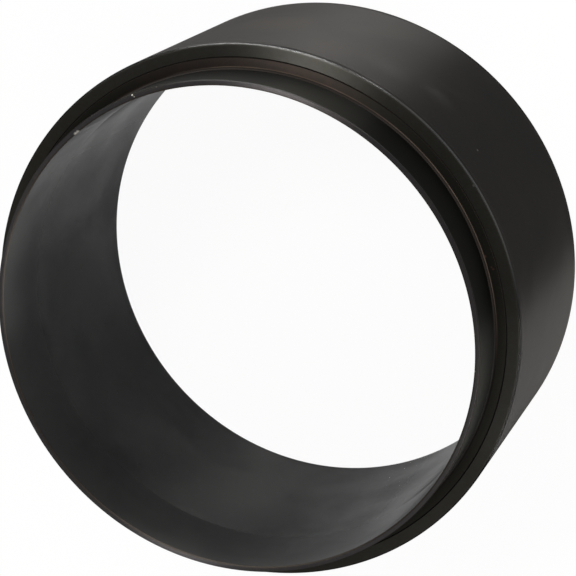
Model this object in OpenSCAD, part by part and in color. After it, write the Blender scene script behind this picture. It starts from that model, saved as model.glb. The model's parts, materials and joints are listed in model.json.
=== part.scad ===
// Tapered-sleeve piston ring compressor for one size of engine cylinder.
// The piston goes in at the wide end, the taper closes its rings, and the thin pilot lip
// stands in the recess at the top of the cylinder liner while the piston is pushed through.
// Millimetres. The sleeve stands on its wide end, with the pilot lip upwards along +Z.

/* [Cylinder] */
// Bore of the engine cylinder, and of the parallel land in the pilot ring
bore_d = 130; // [60:0.5:200]

/* [Sleeve body] */
// Wall of the sleeve, from the cylinder bore out to its outside
sleeve_wall = 8.25; // [6.5:0.25:20]
// Height of the sleeve, from its wide end to its seating face
sleeve_h = 66.5; // [40:0.5:120]
// How much the taper opens at the wide end, on each side
taper_rise = 2.5; // [0.5:0.1:6]

/* [Pilot ring] */
// Wall of the ring's flange, from the cylinder bore out to the joint with the sleeve
flange_wall = 4.6; // [3:0.1:7]
// Depth of the flange in its seat in the sleeve
flange_h = 6; // [2:0.5:20]
// Wall of the pilot lip
lip_wall = 1.5; // [0.9:0.1:3.5]
// Height of the pilot lip above the seating face
lip_h = 14.5; // [4:0.5:40]

/* [Edges] */
// Rounding of the sleeve's two outer edges
outer_round = 0.6; // [0.2:0.1:1.5]
// Rounding of the edge of the taper at the wide end
mouth_round = 0.8; // [0.2:0.1:2]
// Fillet at the root of the pilot lip
root_fillet = 0.5; // [0.1:0.1:1.5]
// Rounding of the lip's outer edge
lip_outer_round = 0.3; // [0.1:0.05:0.7]
// Rounding of the lip's inner edge
lip_inner_round = 0.5; // [0.1:0.05:0.9]
// Chamfer on both pieces where their joint shows on the seating face
joint_chamfer = 0.2; // [0.1:0.05:0.5]
// Lead-in chamfer that starts the flange in its seat
lead_in = 0.7; // [0.4:0.1:1.2]
// Radius that the turning tool leaves in the corner of the seat
seat_fillet = 0.4; // [0.1:0.1:0.4]

/* [Hidden] */

bore_r = bore_d / 2;
lip_r = bore_r + lip_wall;
flange_r = bore_r + flange_wall;
sleeve_r = bore_r + sleeve_wall;
mouth_r = bore_r + taper_rise;
seat_z = sleeve_h - flange_h;
lip_top = sleeve_h + lip_h;

oxide_black = "#2a2926";
oxide_brown = "#2b2521";
turn_steps = 240;
arc_steps = 6;

function unit(v) = v / norm(v);
function turned(v, a) = [v.x * cos(a) - v.y * sin(a), v.x * sin(a) + v.y * cos(a)];

// One corner of a section, given as [radius, height, rounding]: the sharp point, or the points
// of an arc that touches both of its sides
function corner_points(before, corner, after) =
    let (
        tip = [corner.x, corner.y],
        back = unit([before.x, before.y] - tip),
        ahead = unit([after.x, after.y] - tip),
        half = acos(back * ahead) / 2,
        centre = tip + unit(back + ahead) * corner.z / sin(half),
        first = tip + back * corner.z / tan(half) - centre,
        last = tip + ahead * corner.z / tan(half) - centre,
        sweep = sign(cross(first, last)) * (180 - 2 * half)
    )
    corner.z == 0
        ? [tip]
        : [for (i = [0 : arc_steps]) centre + turned(first, sweep * i / arc_steps)];

function rounded(corners) =
    let (n = len(corners))
    [
        for (i = [0 : n - 1])
            each corner_points(corners[(i + n - 1) % n], corners[i], corners[(i + 1) % n])
    ];

module turned_ring(corners) {
    rotate_extrude($fn = turn_steps)
        polygon(rounded(corners));
}

// Outer ring, turned from thick tube: tapered bore, and a seat at the front for the pilot ring
module sleeve_body() {
    color(oxide_black)
        turned_ring([
            [mouth_r, 0, mouth_round],
            [sleeve_r, 0, outer_round],
            [sleeve_r, sleeve_h, outer_round],
            [flange_r + joint_chamfer, sleeve_h, 0],
            [flange_r, sleeve_h - joint_chamfer, 0],
            [flange_r, seat_z, seat_fillet],
            [bore_r, seat_z, 0]
        ]);
}

// Ring of angle section, pressed into the seat: flange flush with the sleeve, thin lip beyond it
module pilot_ring() {
    color(oxide_brown)
        turned_ring([
            [bore_r, seat_z, 0],
            [flange_r - lead_in, seat_z, 0],
            [flange_r, seat_z + lead_in, 0],
            [flange_r, sleeve_h - joint_chamfer, 0],
            [flange_r - joint_chamfer, sleeve_h, 0],
            [lip_r, sleeve_h, root_fillet],
            [lip_r, lip_top, lip_outer_round],
            [bore_r, lip_top, lip_inner_round]
        ]);
}

sleeve_body();
pilot_ring();
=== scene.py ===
import json
import math
from types import SimpleNamespace

import bmesh
import bpy
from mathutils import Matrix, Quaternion, Vector


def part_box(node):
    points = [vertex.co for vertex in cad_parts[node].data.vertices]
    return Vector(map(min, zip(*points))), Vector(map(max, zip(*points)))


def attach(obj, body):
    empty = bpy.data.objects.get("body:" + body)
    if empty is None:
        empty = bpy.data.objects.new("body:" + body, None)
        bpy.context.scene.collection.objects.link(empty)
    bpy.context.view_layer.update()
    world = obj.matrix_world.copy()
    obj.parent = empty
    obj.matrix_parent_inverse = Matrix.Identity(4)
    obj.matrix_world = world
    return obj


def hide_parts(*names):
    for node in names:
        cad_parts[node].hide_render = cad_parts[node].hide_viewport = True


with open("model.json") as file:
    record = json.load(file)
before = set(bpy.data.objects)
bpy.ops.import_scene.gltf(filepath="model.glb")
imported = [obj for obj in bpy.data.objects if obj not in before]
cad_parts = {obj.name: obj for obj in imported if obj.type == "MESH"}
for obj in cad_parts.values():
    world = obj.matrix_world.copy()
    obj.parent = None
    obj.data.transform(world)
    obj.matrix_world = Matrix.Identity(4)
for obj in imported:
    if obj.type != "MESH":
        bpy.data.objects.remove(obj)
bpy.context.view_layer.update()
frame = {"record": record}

# Sleeve body: the outer ring, turned on a lathe from thick steel tube.
# Its bore tapers from the wide end up to the land, and a seat bored in its front face
# holds the pilot ring. The whole of it is blackened in a hot oxide bath and oiled.
MM = 0.001
mount_sizes = {mount["name"]: mount["dims"] for mount in frame["record"]["mounts"]}
sleeve_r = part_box("sleeve_body")[1].x
sleeve_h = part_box("sleeve_body")[1].z
seat_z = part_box("pilot_ring")[0].z
lip_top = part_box("pilot_ring")[1].z
bore_r = mount_sizes["piston_land"]["r_mm"] * MM
lip_r = mount_sizes["pilot_lip"]["r_mm"] * MM
flange_width = 4.6 * MM
taper_opening = 2.5 * MM
flange_r = bore_r + flange_width
mouth_r = bore_r + taper_opening
outer_round = 0.6 * MM
mouth_round = 0.8 * MM
joint_chamfer = 0.2 * MM
turn_steps = 1200
round_steps = 6
holding_strip = 0.25 * MM
merge_gap = 0.001 * MM
corner_reach = 0.01 * MM
crease = math.radians(35)


def turned_ring(section, roundings):
    """A section of (radius, height) corners turned round Z, with some of its edges rounded.

    A narrow strip is left beside each rounding, so that the shading of the plain faces stays flat.
    """
    bm = bmesh.new()
    corners = [bm.verts.new((radius, 0, height)) for radius, height in section]
    for start, end in zip(corners, corners[1:] + corners[:1]):
        bm.edges.new((start, end))
    bmesh.ops.spin(bm, geom=bm.verts[:] + bm.edges[:], cent=(0, 0, 0), axis=(0, 0, 1),
                   angle=math.tau, steps=turn_steps, use_merge=True)
    bmesh.ops.remove_doubles(bm, verts=bm.verts[:], dist=merge_gap)
    bmesh.ops.recalc_face_normals(bm, faces=bm.faces[:])
    rounded = set()
    for (radius, height), size in roundings:
        ring = {v for v in bm.verts
                if abs(v.co.xy.length - radius) < corner_reach and abs(v.co.z - height) < corner_reach}
        edges = [e for e in bm.edges if e.verts[0] in ring and e.verts[1] in ring]
        made = bmesh.ops.bevel(bm, geom=edges, offset=size, offset_type="OFFSET", affect="EDGES",
                               segments=round_steps, profile=0.5, material=-1)
        rounded.update(made["faces"])
    plain = [f for f in bm.faces if f not in rounded]
    bmesh.ops.inset_region(bm, faces=plain, thickness=holding_strip, use_even_offset=True)
    for face in bm.faces:
        face.smooth = True
    for edge in bm.edges:
        edge.smooth = edge.calc_face_angle(0) < crease
    return bm


def on_ring(radius, degrees, height):
    """A point of a turned surface, by its radius, its angle from +X and its height."""
    a = math.radians(degrees)
    return Vector((radius * math.cos(a), radius * math.sin(a), height))


def knock(bm, nicks):
    """Dents a turned mesh at its nicks, each a place and a size, to a quarter of that size."""
    bm.normal_update()
    for place, size in nicks:
        for corner in bm.verts:
            share = 1 - (corner.co - place).length / size
            if share > 0:
                corner.co -= corner.normal * share * size / 4


def as_piece(bm, name, materials, node_name):
    """Puts a finished mesh in the scene in place of its CAD node."""
    mesh = bpy.data.meshes.new(name)
    bm.to_mesh(mesh)
    bm.free()
    for material in materials:
        mesh.materials.append(material)
    piece = bpy.data.objects.new(name, mesh)
    bpy.context.scene.collection.objects.link(piece)
    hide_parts(node_name)
    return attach(piece, "root")


def linear(colour):
    """An sRGB hex colour as linear RGBA."""
    parts = [int(colour[i:i + 2], 16) / 255 for i in (1, 3, 5)]
    return [c / 12.92 if c <= 0.04045 else ((c + 0.055) / 1.055) ** 2.4 for c in parts] + [1]


def bare_material(name):
    """A new material with no nodes yet."""
    material = bpy.data.materials.new(name)
    material.use_nodes = True
    material.node_tree.nodes.clear()
    return material


def add(tree, kind, inputs=(), **settings):
    """A shader node with its settings, and each input given a value or another node's output.

    Inputs go by label or index. A Mix node has its two numbers at 2 and 3, its two colours at 6 and 7.
    """
    made = tree.nodes.new("ShaderNode" + kind)
    for key, value in settings.items():
        setattr(made, key, value)
    for socket, source in dict(inputs).items():
        if isinstance(source, bpy.types.NodeSocket):
            tree.links.new(source, made.inputs[socket])
        else:
            made.inputs[socket].default_value = source
    return made


def towards(tree, spot, azimuth, full, gone):
    """A mask of one side of the ring: 1 up to full degrees from the azimuth, 0 from gone degrees."""
    level = add(tree, "VectorMath", {0: spot, 1: (1, 1, 0)}, operation="MULTIPLY").outputs[0]
    ray = add(tree, "VectorMath", {0: level}, operation="NORMALIZE").outputs[0]
    near = add(tree, "VectorMath", {0: ray, 1: on_ring(1, azimuth, 0)},
               operation="DOT_PRODUCT").outputs["Value"]
    return add(tree, "MapRange", {"Value": near, "From Min": math.cos(math.radians(gone)),
                                  "From Max": math.cos(math.radians(full))}).outputs[0]


# The rings of the tool and the grain of the oxide are drawn coarser than the real ones, so that they
# show: the rings five times as wide as a finishing cut leaves them.
ring_pitch = 0.6 * MM
ring_depth = 0.003 * MM
grain_size = 0.6 * MM
mottle_size = 2 * MM
smudge_size = 24 * MM

# How upright the normal is where a wall turns into an edge, and an edge into a faced end.
edge_lean = (0.1, 0.3)
face_lean = (0.85, 0.98)


def ring_places(tree):
    """Where a point lies on a turned ring, as sockets.

    Of the masks, faced is 1 on the flat ends, edged on the rounded edges and inner on what faces the
    axis. Smudges in the oil, mottling and grain run from 0 to 1.
    """
    where = add(tree, "TexCoord").outputs
    spot = where["Object"]
    level = add(tree, "VectorMath", {0: spot, 1: (1, 1, 0)}, operation="MULTIPLY").outputs[0]
    radius = add(tree, "VectorMath", {0: level}, operation="LENGTH").outputs["Value"]
    height = add(tree, "SeparateXYZ", {0: spot}).outputs["Z"]
    outward = add(tree, "VectorMath", {0: where["Normal"], 1: level},
                  operation="DOT_PRODUCT").outputs["Value"]
    inner = add(tree, "MapRange", {"Value": outward, "From Min": bore_r / 4,
                                   "From Max": -bore_r / 4}).outputs[0]
    lean = add(tree, "SeparateXYZ", {0: where["Normal"]}).outputs["Z"]
    lean = add(tree, "Math", {0: lean}, operation="ABSOLUTE").outputs[0]
    off_wall = add(tree, "MapRange", {"Value": lean, "From Min": edge_lean[0],
                                      "From Max": edge_lean[1]}).outputs[0]
    faced = add(tree, "MapRange", {"Value": lean, "From Min": face_lean[0],
                                   "From Max": face_lean[1]}).outputs[0]
    edged = add(tree, "Math", {0: off_wall, 1: faced}, operation="SUBTRACT").outputs[0]
    smudges = add(tree, "TexNoise", {"Vector": spot, "Scale": 1 / smudge_size, "Detail": 2.0,
                                     "Roughness": 0.5, "Distortion": 0.6}).outputs[0]
    smudges = add(tree, "MapRange", {"Value": smudges, "From Min": 0.3, "From Max": 0.7}).outputs[0]
    mottle = add(tree, "TexNoise", {"Vector": spot, "Scale": 1 / mottle_size, "Detail": 2.0}).outputs[0]
    mottle = add(tree, "MapRange", {"Value": mottle, "From Min": 0.35, "From Max": 0.65}).outputs[0]
    grain = add(tree, "TexNoise", {"Vector": spot, "Scale": 1 / grain_size, "Detail": 1.0}).outputs[0]
    return SimpleNamespace(spot=spot, radius=radius, height=height, outward=outward, inner=inner,
                           faced=faced, edged=edged, smudges=smudges, mottle=mottle, grain=grain)


# Sides where the rounded edges take a paler colour, a painted highlight: the azimuth, and how many
# degrees from it the highlight is full and gone. On the first side no shade is painted at the lip's root.
first_gleam_side = (34, 14, 34)
second_gleam_side = (81, 10, 20)

# How brown a browned side is at least, and how far smudges and grain lighten the plain oxide.
least_brown = 0.6
plain_shade = 0.8
smudge_shade = 0.15
grain_shade = 0.25
thin_oil = "#fdfefb"
thick_oil = "#fffcf5"


def oxide_colour(tree, at, wall, face, edge, root_shade, browned_side):
    """The oxide's colour by place, shaded by its grain and the oil, with painted edge highlights and
    painted shade at the lip's root.
    """
    on_wall = add(tree, "Mix", {"Factor": at.inner, 6: linear(wall[0]), 7: linear(wall[1])},
                  data_type="RGBA").outputs[2]
    stained = at.mottle
    if browned_side:
        browned = towards(tree, at.spot, *browned_side)
        stained = add(tree, "Math", {0: at.mottle, 1: 1 - least_brown, 2: least_brown},
                      operation="MULTIPLY_ADD").outputs[0]
        stained = add(tree, "Math", {0: stained, 1: browned}, operation="MULTIPLY").outputs[0]
    on_face = add(tree, "Mix", {"Factor": stained, 6: linear(face[0]), 7: linear(face[1])},
                  data_type="RGBA").outputs[2]
    colour = add(tree, "Mix", {"Factor": at.faced, 6: on_wall, 7: on_face}, data_type="RGBA").outputs[2]

    # Painted highlight: the rounded edges take the paler third edge colour on the two gleam sides.
    on_first_gleam_side = towards(tree, at.spot, *first_gleam_side)
    on_second_gleam_side = towards(tree, at.spot, *second_gleam_side)
    edge_gleam = add(tree, "Math", {0: on_first_gleam_side, 1: on_second_gleam_side}, operation="MAXIMUM").outputs[0]
    edge_gleam = add(tree, "Math", {0: edge_gleam, 1: at.inner}, operation="SUBTRACT", use_clamp=True).outputs[0]
    on_edge = add(tree, "Mix", {"Factor": at.inner, 6: linear(edge[0]), 7: linear(edge[1])},
                  data_type="RGBA").outputs[2]
    on_edge = add(tree, "Mix", {"Factor": edge_gleam, 6: on_edge, 7: linear(edge[2])},
                  data_type="RGBA").outputs[2]
    colour = add(tree, "Mix", {"Factor": at.edged, 6: colour, 7: on_edge}, data_type="RGBA").outputs[2]

    # Painted shade and light: darker at the lip's root, lighter away from it, and left off on the first
    # gleam side.
    above = add(tree, "Math", {0: at.height, 1: sleeve_h}, operation="SUBTRACT").outputs[0]
    beside = add(tree, "Math", {0: at.radius, 1: lip_r}, operation="SUBTRACT").outputs[0]
    from_root = add(tree, "Math", {0: above, 1: beside}, operation="MAXIMUM").outputs[0]
    root_shading = add(tree, "MapRange", {"Value": from_root, "From Max": root_shade[2], "To Min": root_shade[0],
                                   "To Max": root_shade[1]}).outputs[0]
    root_shading = add(tree, "Mix", {"Factor": on_first_gleam_side, 2: root_shading, 3: 1.0}).outputs[0]
    shade = add(tree, "Math", {0: at.smudges, 1: smudge_shade, 2: plain_shade},
                operation="MULTIPLY_ADD").outputs[0]
    shade = add(tree, "Math", {0: at.grain, 1: grain_shade, 2: shade}, operation="MULTIPLY_ADD").outputs[0]
    shade = add(tree, "Math", {0: shade, 1: root_shading}, operation="MULTIPLY").outputs[0]
    colour = add(tree, "VectorMath", {0: colour, "Scale": shade}, operation="SCALE").outputs[0]
    tint = add(tree, "Mix", {"Factor": at.smudges, 6: linear(thin_oil), 7: linear(thick_oil)},
               data_type="RGBA").outputs[2]
    return add(tree, "VectorMath", {0: colour, 1: tint}, operation="MULTIPLY").outputs[0]


# How far from an end the wall is rubbed, and how much duller a smudge is.
rubbed_width = 3 * MM
smudge_dullness = 0.08


def oxide_roughness(tree, at, roughness, rubbed_ends):
    """The oxide's roughness on wall, face and edge. Hands have rubbed the wall near its rubbed ends."""
    smooth = at.edged
    for end in rubbed_ends:
        off = add(tree, "Math", {0: at.height, 1: end}, operation="SUBTRACT").outputs[0]
        off = add(tree, "Math", {0: off}, operation="ABSOLUTE").outputs[0]
        near = add(tree, "MapRange", {"Value": off, "From Min": rubbed_width,
                                      "From Max": rubbed_width / 2}).outputs[0]
        near = add(tree, "Math", {0: near, 1: at.faced}, operation="SUBTRACT", use_clamp=True).outputs[0]
        smooth = add(tree, "Math", {0: smooth, 1: near}, operation="MAXIMUM").outputs[0]
    dull = add(tree, "MapRange", {"Value": at.faced, "To Min": roughness[0],
                                  "To Max": roughness[1]}).outputs[0]
    dull = add(tree, "Mix", {"Factor": smooth, 2: dull, 3: roughness[2]}).outputs[0]
    return add(tree, "Math", {0: at.smudges, 1: smudge_dullness, 2: dull},
               operation="MULTIPLY_ADD").outputs[0]


# Weight of the oil in the bore and outside, how smudges and mottling vary it, and what a finger adds.
film_in_bore = 0.32
film_outside = 0.01
film_range = (0.76, 1.16)
film_mottle = 0.12
finger_film = 0.12


def oil_film(tree, at, finger_marks):
    """The weight of the oil: uneven, most of it in the bore, none on the edges, and finger marks."""
    film = add(tree, "MapRange", {"Value": at.smudges, "To Min": film_range[0],
                                  "To Max": film_range[1]}).outputs[0]
    film = add(tree, "Math", {0: at.mottle, 1: film_mottle, 2: film}, operation="MULTIPLY_ADD").outputs[0]
    held = add(tree, "MapRange", {"Value": at.outward, "From Min": -bore_r / 2, "From Max": 0.0,
                                  "To Min": film_in_bore, "To Max": film_outside}).outputs[0]
    film = add(tree, "Math", {0: film, 1: held}, operation="MULTIPLY").outputs[0]
    off_edge = add(tree, "Math", {0: 1.0, 1: at.edged}, operation="SUBTRACT").outputs[0]
    film = add(tree, "Math", {0: film, 1: off_edge}, operation="MULTIPLY").outputs[0]
    for place, size in finger_marks:
        away = add(tree, "VectorMath", {0: at.spot, 1: place}, operation="DISTANCE").outputs["Value"]
        oily = add(tree, "MapRange", {"Value": away, "From Min": size, "From Max": 0.0,
                                      "To Max": finger_film}, interpolation_type="SMOOTHSTEP").outputs[0]
        film = add(tree, "Math", {0: oily, 1: at.smudges, 2: film}, operation="MULTIPLY_ADD").outputs[0]
    return film


# A quarter turn from the tangent draws the gleams out across the rings of the tool.
across_rings = 0.25
nick_roughness = 0.7


def blackened_steel(name, wall, face, edge, roughness, glance="#a5a5a5", root_shade=(1, 1, MM), rubbed_ends=(),
                    stretch=1.0, browned_side=None, finger_marks=(), nicks=(), nick_colour="#e4e0d8"):
    """Turned steel with a hot black oxide under a thin, uneven film of oil.

    Its walls are black with broad soft gleams, and glance says how much they mirror at a low angle.
    Its faced ends keep the rings of the tool, which draw light out into a fan, by as much as stretch
    says. Walls have an outer and an inner colour, faces a plain and a stained one, and rounded edges
    an outer, an inner and a paler one, a painted highlight, which shows on the two gleam sides. The
    three roughnesses are for wall, face and edge. Root shade paints shade at the lip's root and light
    away from it: the share of the colour at the root, the share away from it, and how far away. It is
    left off on the first gleam side.
    """
    material = bare_material(name)
    tree = material.node_tree
    at = ring_places(tree)
    colour = oxide_colour(tree, at, wall, face, edge, root_shade, browned_side)
    dull = oxide_roughness(tree, at, roughness, rubbed_ends)
    for place, size in nicks:
        away = add(tree, "VectorMath", {0: at.spot, 1: place}, operation="DISTANCE").outputs["Value"]
        bare = add(tree, "MapRange", {"Value": away, "From Min": size, "From Max": size / 2}).outputs[0]
        colour = add(tree, "Mix", {"Factor": bare, 6: colour, 7: linear(nick_colour)},
                     data_type="RGBA").outputs[2]
        dull = add(tree, "Mix", {"Factor": bare, 2: dull, 3: nick_roughness}).outputs[0]
    cut = add(tree, "Mix", {"Factor": at.faced, 2: at.height, 3: at.radius}).outputs[0]
    rings = add(tree, "Math", {0: cut, 1: 1 / ring_pitch}, operation="MULTIPLY").outputs[0]
    rings = add(tree, "TexNoise", {"W": rings, "Scale": 1.0, "Detail": 2.0},
                noise_dimensions="1D").outputs[0]
    relief = add(tree, "Bump", {"Strength": 1.0, "Distance": ring_depth, "Height": rings}).outputs[0]
    tangent = add(tree, "Tangent", direction_type="RADIAL", axis="Z").outputs[0]
    surface = add(tree, "BsdfPrincipled", {
        "Base Color": colour, "Metallic": 1.0, "Roughness": dull, "Normal": relief,
        "Specular Tint": linear(glance),
        "Anisotropic": stretch, "Anisotropic Rotation": across_rings, "Tangent": tangent,
        "Coat Weight": oil_film(tree, at, finger_marks), "Coat Roughness": 0.15, "Coat IOR": 1.27})
    add(tree, "OutputMaterial", {"Surface": surface.outputs[0]})
    return material


# How thick a stained side is at least, and how rough its thickest patches are.
least_stain = 0.55
crust_roughness = 0.9


def stain(name, thin, thick, patch_size, roughness, side):
    """A dull deposit in a corner of the metal, thin all round and thick in patches on one side. In the
    lip's root that paler thick side is also a painted highlight.
    """
    material = bare_material(name)
    tree = material.node_tree
    spot = add(tree, "TexCoord").outputs["Object"]
    patches = add(tree, "TexNoise", {"Vector": spot, "Scale": 1 / patch_size, "Detail": 3.0}).outputs[0]
    patches = add(tree, "MapRange", {"Value": patches, "From Min": 0.35, "From Max": 0.65}).outputs[0]
    share = add(tree, "Math", {0: patches, 1: 1 - least_stain, 2: least_stain},
                operation="MULTIPLY_ADD").outputs[0]
    share = add(tree, "Math", {0: share, 1: towards(tree, spot, *side)}, operation="MULTIPLY").outputs[0]
    colour = add(tree, "Mix", {"Factor": share, 6: linear(thin), 7: linear(thick)},
                 data_type="RGBA").outputs[2]
    dull = add(tree, "MapRange", {"Value": patches, "To Min": roughness,
                                  "To Max": crust_roughness}).outputs[0]
    surface = add(tree, "BsdfPrincipled", {"Base Color": colour, "Roughness": dull,
                                           "Specular IOR Level": 0.05})
    add(tree, "OutputMaterial", {"Surface": surface.outputs[0]})
    return material


sleeve_nicks = [(on_ring(sleeve_r, 33.4, 50.7 * MM), 0.4 * MM),
                (on_ring(sleeve_r - outer_round, 28.6, sleeve_h), 0.4 * MM)]
finger_marks = [(on_ring(sleeve_r, 58, 49 * MM), 9 * MM),
                (on_ring(sleeve_r, 47, 44.5 * MM), 7 * MM)]
# Black oxide on turned steel looks charcoal, with soft gleams down the wall and a fan on the face.
# Its rounded edges are dark, with a paler painted highlight on the two gleam sides.
sleeve_steel = blackened_steel(
    "black_oxide_turned_steel",
    wall=("#353434", "#353434"), face=("#41403e", "#3f3e3a"), edge=("#1c1c1c", "#161616", "#505051"),
    roughness=(0.52, 0.36, 0.25), rubbed_ends=(0, sleeve_h),
    finger_marks=finger_marks, nicks=sleeve_nicks, nick_colour="#6d6b66")
# Old oil and dust fill the fine groove of the joint, which shows as a dark line.
joint_dirt = stain("dark_oil_in_joint", thin="#1a1816", thick="#211d1a", patch_size=6 * MM,
                   roughness=0.6, side=(65, 55, 80))
# Pistons keep the bore oiled, so the oxide stays darker there and mirrors less at a glance.
bore_steel = blackened_steel(
    "black_oxide_oiled_bore_steel",
    wall=("#292929", "#292929"), face=("#292929", "#292929"), edge=("#161616", "#161616", "#161616"),
    roughness=(0.52, 0.36, 0.25), glance="#606060", rubbed_ends=(0, sleeve_h))

sleeve_mesh = turned_ring([
    (mouth_r, 0), (sleeve_r, 0), (sleeve_r, sleeve_h),
    (flange_r + joint_chamfer, sleeve_h), (flange_r, sleeve_h - joint_chamfer),
    (flange_r, seat_z), (bore_r, seat_z),
], [((mouth_r, 0), mouth_round), ((sleeve_r, 0), outer_round), ((sleeve_r, sleeve_h), outer_round)])
for face in sleeve_mesh.faces:
    middle = face.calc_center_median()
    out = middle.xy.length
    in_joint = flange_r < out < flange_r + joint_chamfer and middle.z > seat_z
    in_taper = out < mouth_r and 0 < middle.z < seat_z - holding_strip
    if in_joint:
        face.material_index = 1
    elif in_taper:
        face.material_index = 2
knock(sleeve_mesh, sleeve_nicks)
as_piece(sleeve_mesh, "sleeve", [sleeve_steel, joint_dirt, bore_steel], "sleeve_body")

# Pilot ring: an angle-section ring, turned from the same steel and pressed into the sleeve's seat.
# Its flange lies flush with the seating face, its bore is the parallel land, and its thin lip
# stands out to enter the cylinder liner.
lead_in = 0.7 * MM
root_fillet = 0.5 * MM
lip_outer_round = 0.3 * MM
lip_inner_round = 0.5 * MM

lip_nicks = [(on_ring(lip_r - 0.2 * MM, 107.2, lip_top), 0.33 * MM),
             (on_ring(lip_r - 0.8 * MM, 106.9, lip_top), 0.2 * MM),
             (on_ring(bore_r, 123.7, lip_top), 0.7 * MM),
             (on_ring(bore_r, 124.4, lip_top), 0.7 * MM),
             (on_ring(lip_r, 101.1, lip_top), 0.18 * MM),
             (on_ring(bore_r, 351.8, lip_top), 0.4 * MM)]
# The lip is handled most: its oxide is thin and dark, gleams at a glance, and is nicked to bare steel.
# The lip is painted darker towards its root and lighter towards its end, a painted shade and light, except
# on the first gleam side, and its outer edge takes the painted highlight on the two gleam sides.
lip_steel = blackened_steel(
    "black_oxide_rubbed_lip_steel",
    wall=("#1b1b1a", "#1f1f1f"), face=("#444143", "#403e40"), edge=("#2a2826", "#48433f", "#444444"),
    roughness=(0.39, 0.36, 0.65), glance="#d0d0d0", root_shade=(0.5, 1.3, lip_top - sleeve_h), nicks=lip_nicks)
rust_spots = [(on_ring(67.4 * MM, 14.1, sleeve_h), 0.5 * MM),
              (on_ring(68.5 * MM, 11.0, sleeve_h), 0.35 * MM),
              (on_ring(68.2 * MM, 11.5, sleeve_h), 0.3 * MM)]
# The oxide of the flange has begun to rust through: it is browner and duller, with a few spots.
# The flange's face is painted darker next to the lip's root and a little lighter away from it, a painted
# shade, except on the first gleam side.
flange_steel = blackened_steel(
    "browned_oxide_turned_steel",
    wall=("#252120", "#262220"), face=("#31302d", "#3d3532"), edge=("#33302c", "#33302c", "#33302c"),
    roughness=(0.5, 0.48, 0.5), root_shade=(0.7, 1.1, 2.6 * MM), stretch=0.9, browned_side=(85, 14, 32),
    nicks=rust_spots, nick_colour="#5f4537")
# Rust has bloomed in the root of the lip, where the oil has gone, in a fine broken line. It is paler and
# thicker on one side, which is a painted highlight of the gleam in the root.
root_rust_and_glint = stain("rust_and_painted_glint_in_root", thin="#1c1815", thick="#5c4f46", patch_size=7 * MM,
                  roughness=0.7, side=(46, 38, 58))

pilot_mesh = turned_ring([
    (bore_r, seat_z), (flange_r - lead_in, seat_z), (flange_r, seat_z + lead_in),
    (flange_r, sleeve_h - joint_chamfer), (flange_r - joint_chamfer, sleeve_h),
    (lip_r, sleeve_h), (lip_r, lip_top), (bore_r, lip_top),
], [((lip_r, sleeve_h), root_fillet), ((lip_r, lip_top), lip_outer_round),
    ((bore_r, lip_top), lip_inner_round)])
for face in pilot_mesh.faces:
    middle = face.calc_center_median()
    out = middle.xy.length - lip_r
    up = middle.z - sleeve_h
    in_joint = out > flange_r - lip_r - joint_chamfer and -joint_chamfer < up < 0
    in_fillet = 0 < out < root_fillet and 0 < up < root_fillet
    by_fillet = root_fillet < out < root_fillet + holding_strip and abs(up) < root_fillet / 4
    on_flange = out > 0 and up < root_fillet
    if by_fillet:
        face.material_index = 3
    elif in_joint or in_fillet:
        face.material_index = 2
    elif on_flange:
        face.material_index = 1
knock(pilot_mesh, lip_nicks)
as_piece(pilot_mesh, "pilot_lip_ring", [lip_steel, flange_steel, joint_dirt, root_rust_and_glint],
         "pilot_ring")

# Floor: a wide sheet of white paper under the ring. What the eye and the metal see of it is mostly
# its own white, so that the ring's shadow stays on it but faint, as on a light table.
floor_half = 20.0
floor_drop = 0.05 * MM
floor_white = 0.95
floor_bm = bmesh.new()
bmesh.ops.create_grid(floor_bm, x_segments=1, y_segments=1, size=floor_half)
bmesh.ops.translate(floor_bm, verts=floor_bm.verts[:], vec=(0, 0, -floor_drop))
floor_mesh = bpy.data.meshes.new("floor")
floor_bm.to_mesh(floor_mesh)
floor_bm.free()
floor = bpy.data.objects.new("floor", floor_mesh)
bpy.context.scene.collection.objects.link(floor)
paper = bare_material("white_paper")
tree = paper.node_tree
rays = add(tree, "LightPath").outputs
seen = add(tree, "Math", {0: rays["Is Camera Ray"], 1: rays["Is Glossy Ray"]},
           operation="MAXIMUM").outputs[0]
seen = add(tree, "Math", {0: seen, 1: rays["Is Transmission Ray"]}, operation="MAXIMUM").outputs[0]
share = add(tree, "Math", {0: seen, 1: floor_white}, operation="MULTIPLY").outputs[0]
lit = add(tree, "BsdfDiffuse", {"Color": linear("#f4f4f4")}).outputs[0]
own = add(tree, "Emission", {"Color": linear("#ffffff"), "Strength": 1.0}).outputs[0]
mixed = add(tree, "MixShader", {0: share, 1: lit, 2: own}).outputs[0]
add(tree, "OutputMaterial", {"Surface": mixed})
floor_mesh.materials.append(paper)

# Studio: softboxes a metre from the ring in a dim grey room. A small key high up draws the fan of
# light on the turned faces, two long low strips light the outside from two sides, and two weak lamps
# fill in from the front and from behind.


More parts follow.
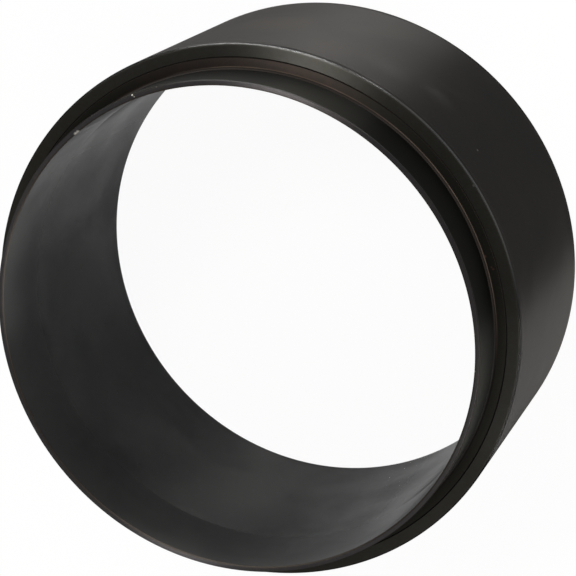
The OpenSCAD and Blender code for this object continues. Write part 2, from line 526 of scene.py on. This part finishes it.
def direction(azimuth, elevation):
    """Unit vector at an azimuth from +X towards +Y and an elevation above the floor, in degrees."""
    a, e = math.radians(azimuth), math.radians(elevation)
    return Vector((math.cos(a) * math.cos(e), math.sin(a) * math.cos(e), math.sin(e)))


def softbox(name, azimuth, elevation, width, height, watts):
    """A soft rectangular lamp one metre from the ring, turned to face it."""
    lamp = bpy.data.lights.new(name, "AREA")
    lamp.shape = "RECTANGLE"
    lamp.size = width
    lamp.size_y = height
    lamp.energy = watts
    box = bpy.data.objects.new(name, lamp)
    box.location = direction(azimuth, elevation)
    box.rotation_mode = "QUATERNION"
    box.rotation_quaternion = (-box.location).to_track_quat("-Z", "Y")
    bpy.context.scene.collection.objects.link(box)


softbox("key_softbox", azimuth=99, elevation=60, width=0.26, height=0.24, watts=4.2)
softbox("side_softbox", azimuth=104, elevation=5, width=1.9, height=0.096, watts=22)
softbox("fill_softbox", azimuth=-35, elevation=9, width=0.7, height=0.096, watts=10)
softbox("front_softbox", azimuth=28, elevation=26, width=1.1, height=0.2, watts=0.7)
softbox("back_softbox", azimuth=-80, elevation=50, width=0.5, height=0.5, watts=0.4)
world = bpy.data.worlds.new("dim_room")
bpy.context.scene.world = world
world.use_nodes = True
tree = world.node_tree
tree.nodes.clear()
backdrop = add(tree, "Background", {"Color": linear("#b6b6b4"), "Strength": 1.0}).outputs[0]
add(tree, "OutputWorld", {"Surface": backdrop})

# Camera: a long lens, high over the front of the ring and rolled, as the picture was taken.
# The aim lies beside the axis, because the picture's middle does.
aim = Vector((11.5, 8.0, 66.0)) * MM
view_azimuth = 37.14
view_elevation = 64.25
view_distance = 545.2 * MM
view_roll = -130.06
focal_length = 130.16
lens = bpy.data.cameras.new("camera")
lens.sensor_width = 36
lens.lens = focal_length
lens.clip_end = 100
camera = bpy.data.objects.new("camera", lens)
back = direction(view_azimuth, view_elevation)
camera.location = aim + back * view_distance
camera.rotation_mode = "QUATERNION"
roll = Quaternion((0, 0, 1), math.radians(view_roll))
camera.rotation_quaternion = (-back).to_track_quat("-Z", "Y") @ roll
bpy.context.scene.collection.objects.link(camera)
bpy.context.scene.camera = camera
bpy.context.scene.view_settings.view_transform = "Standard"
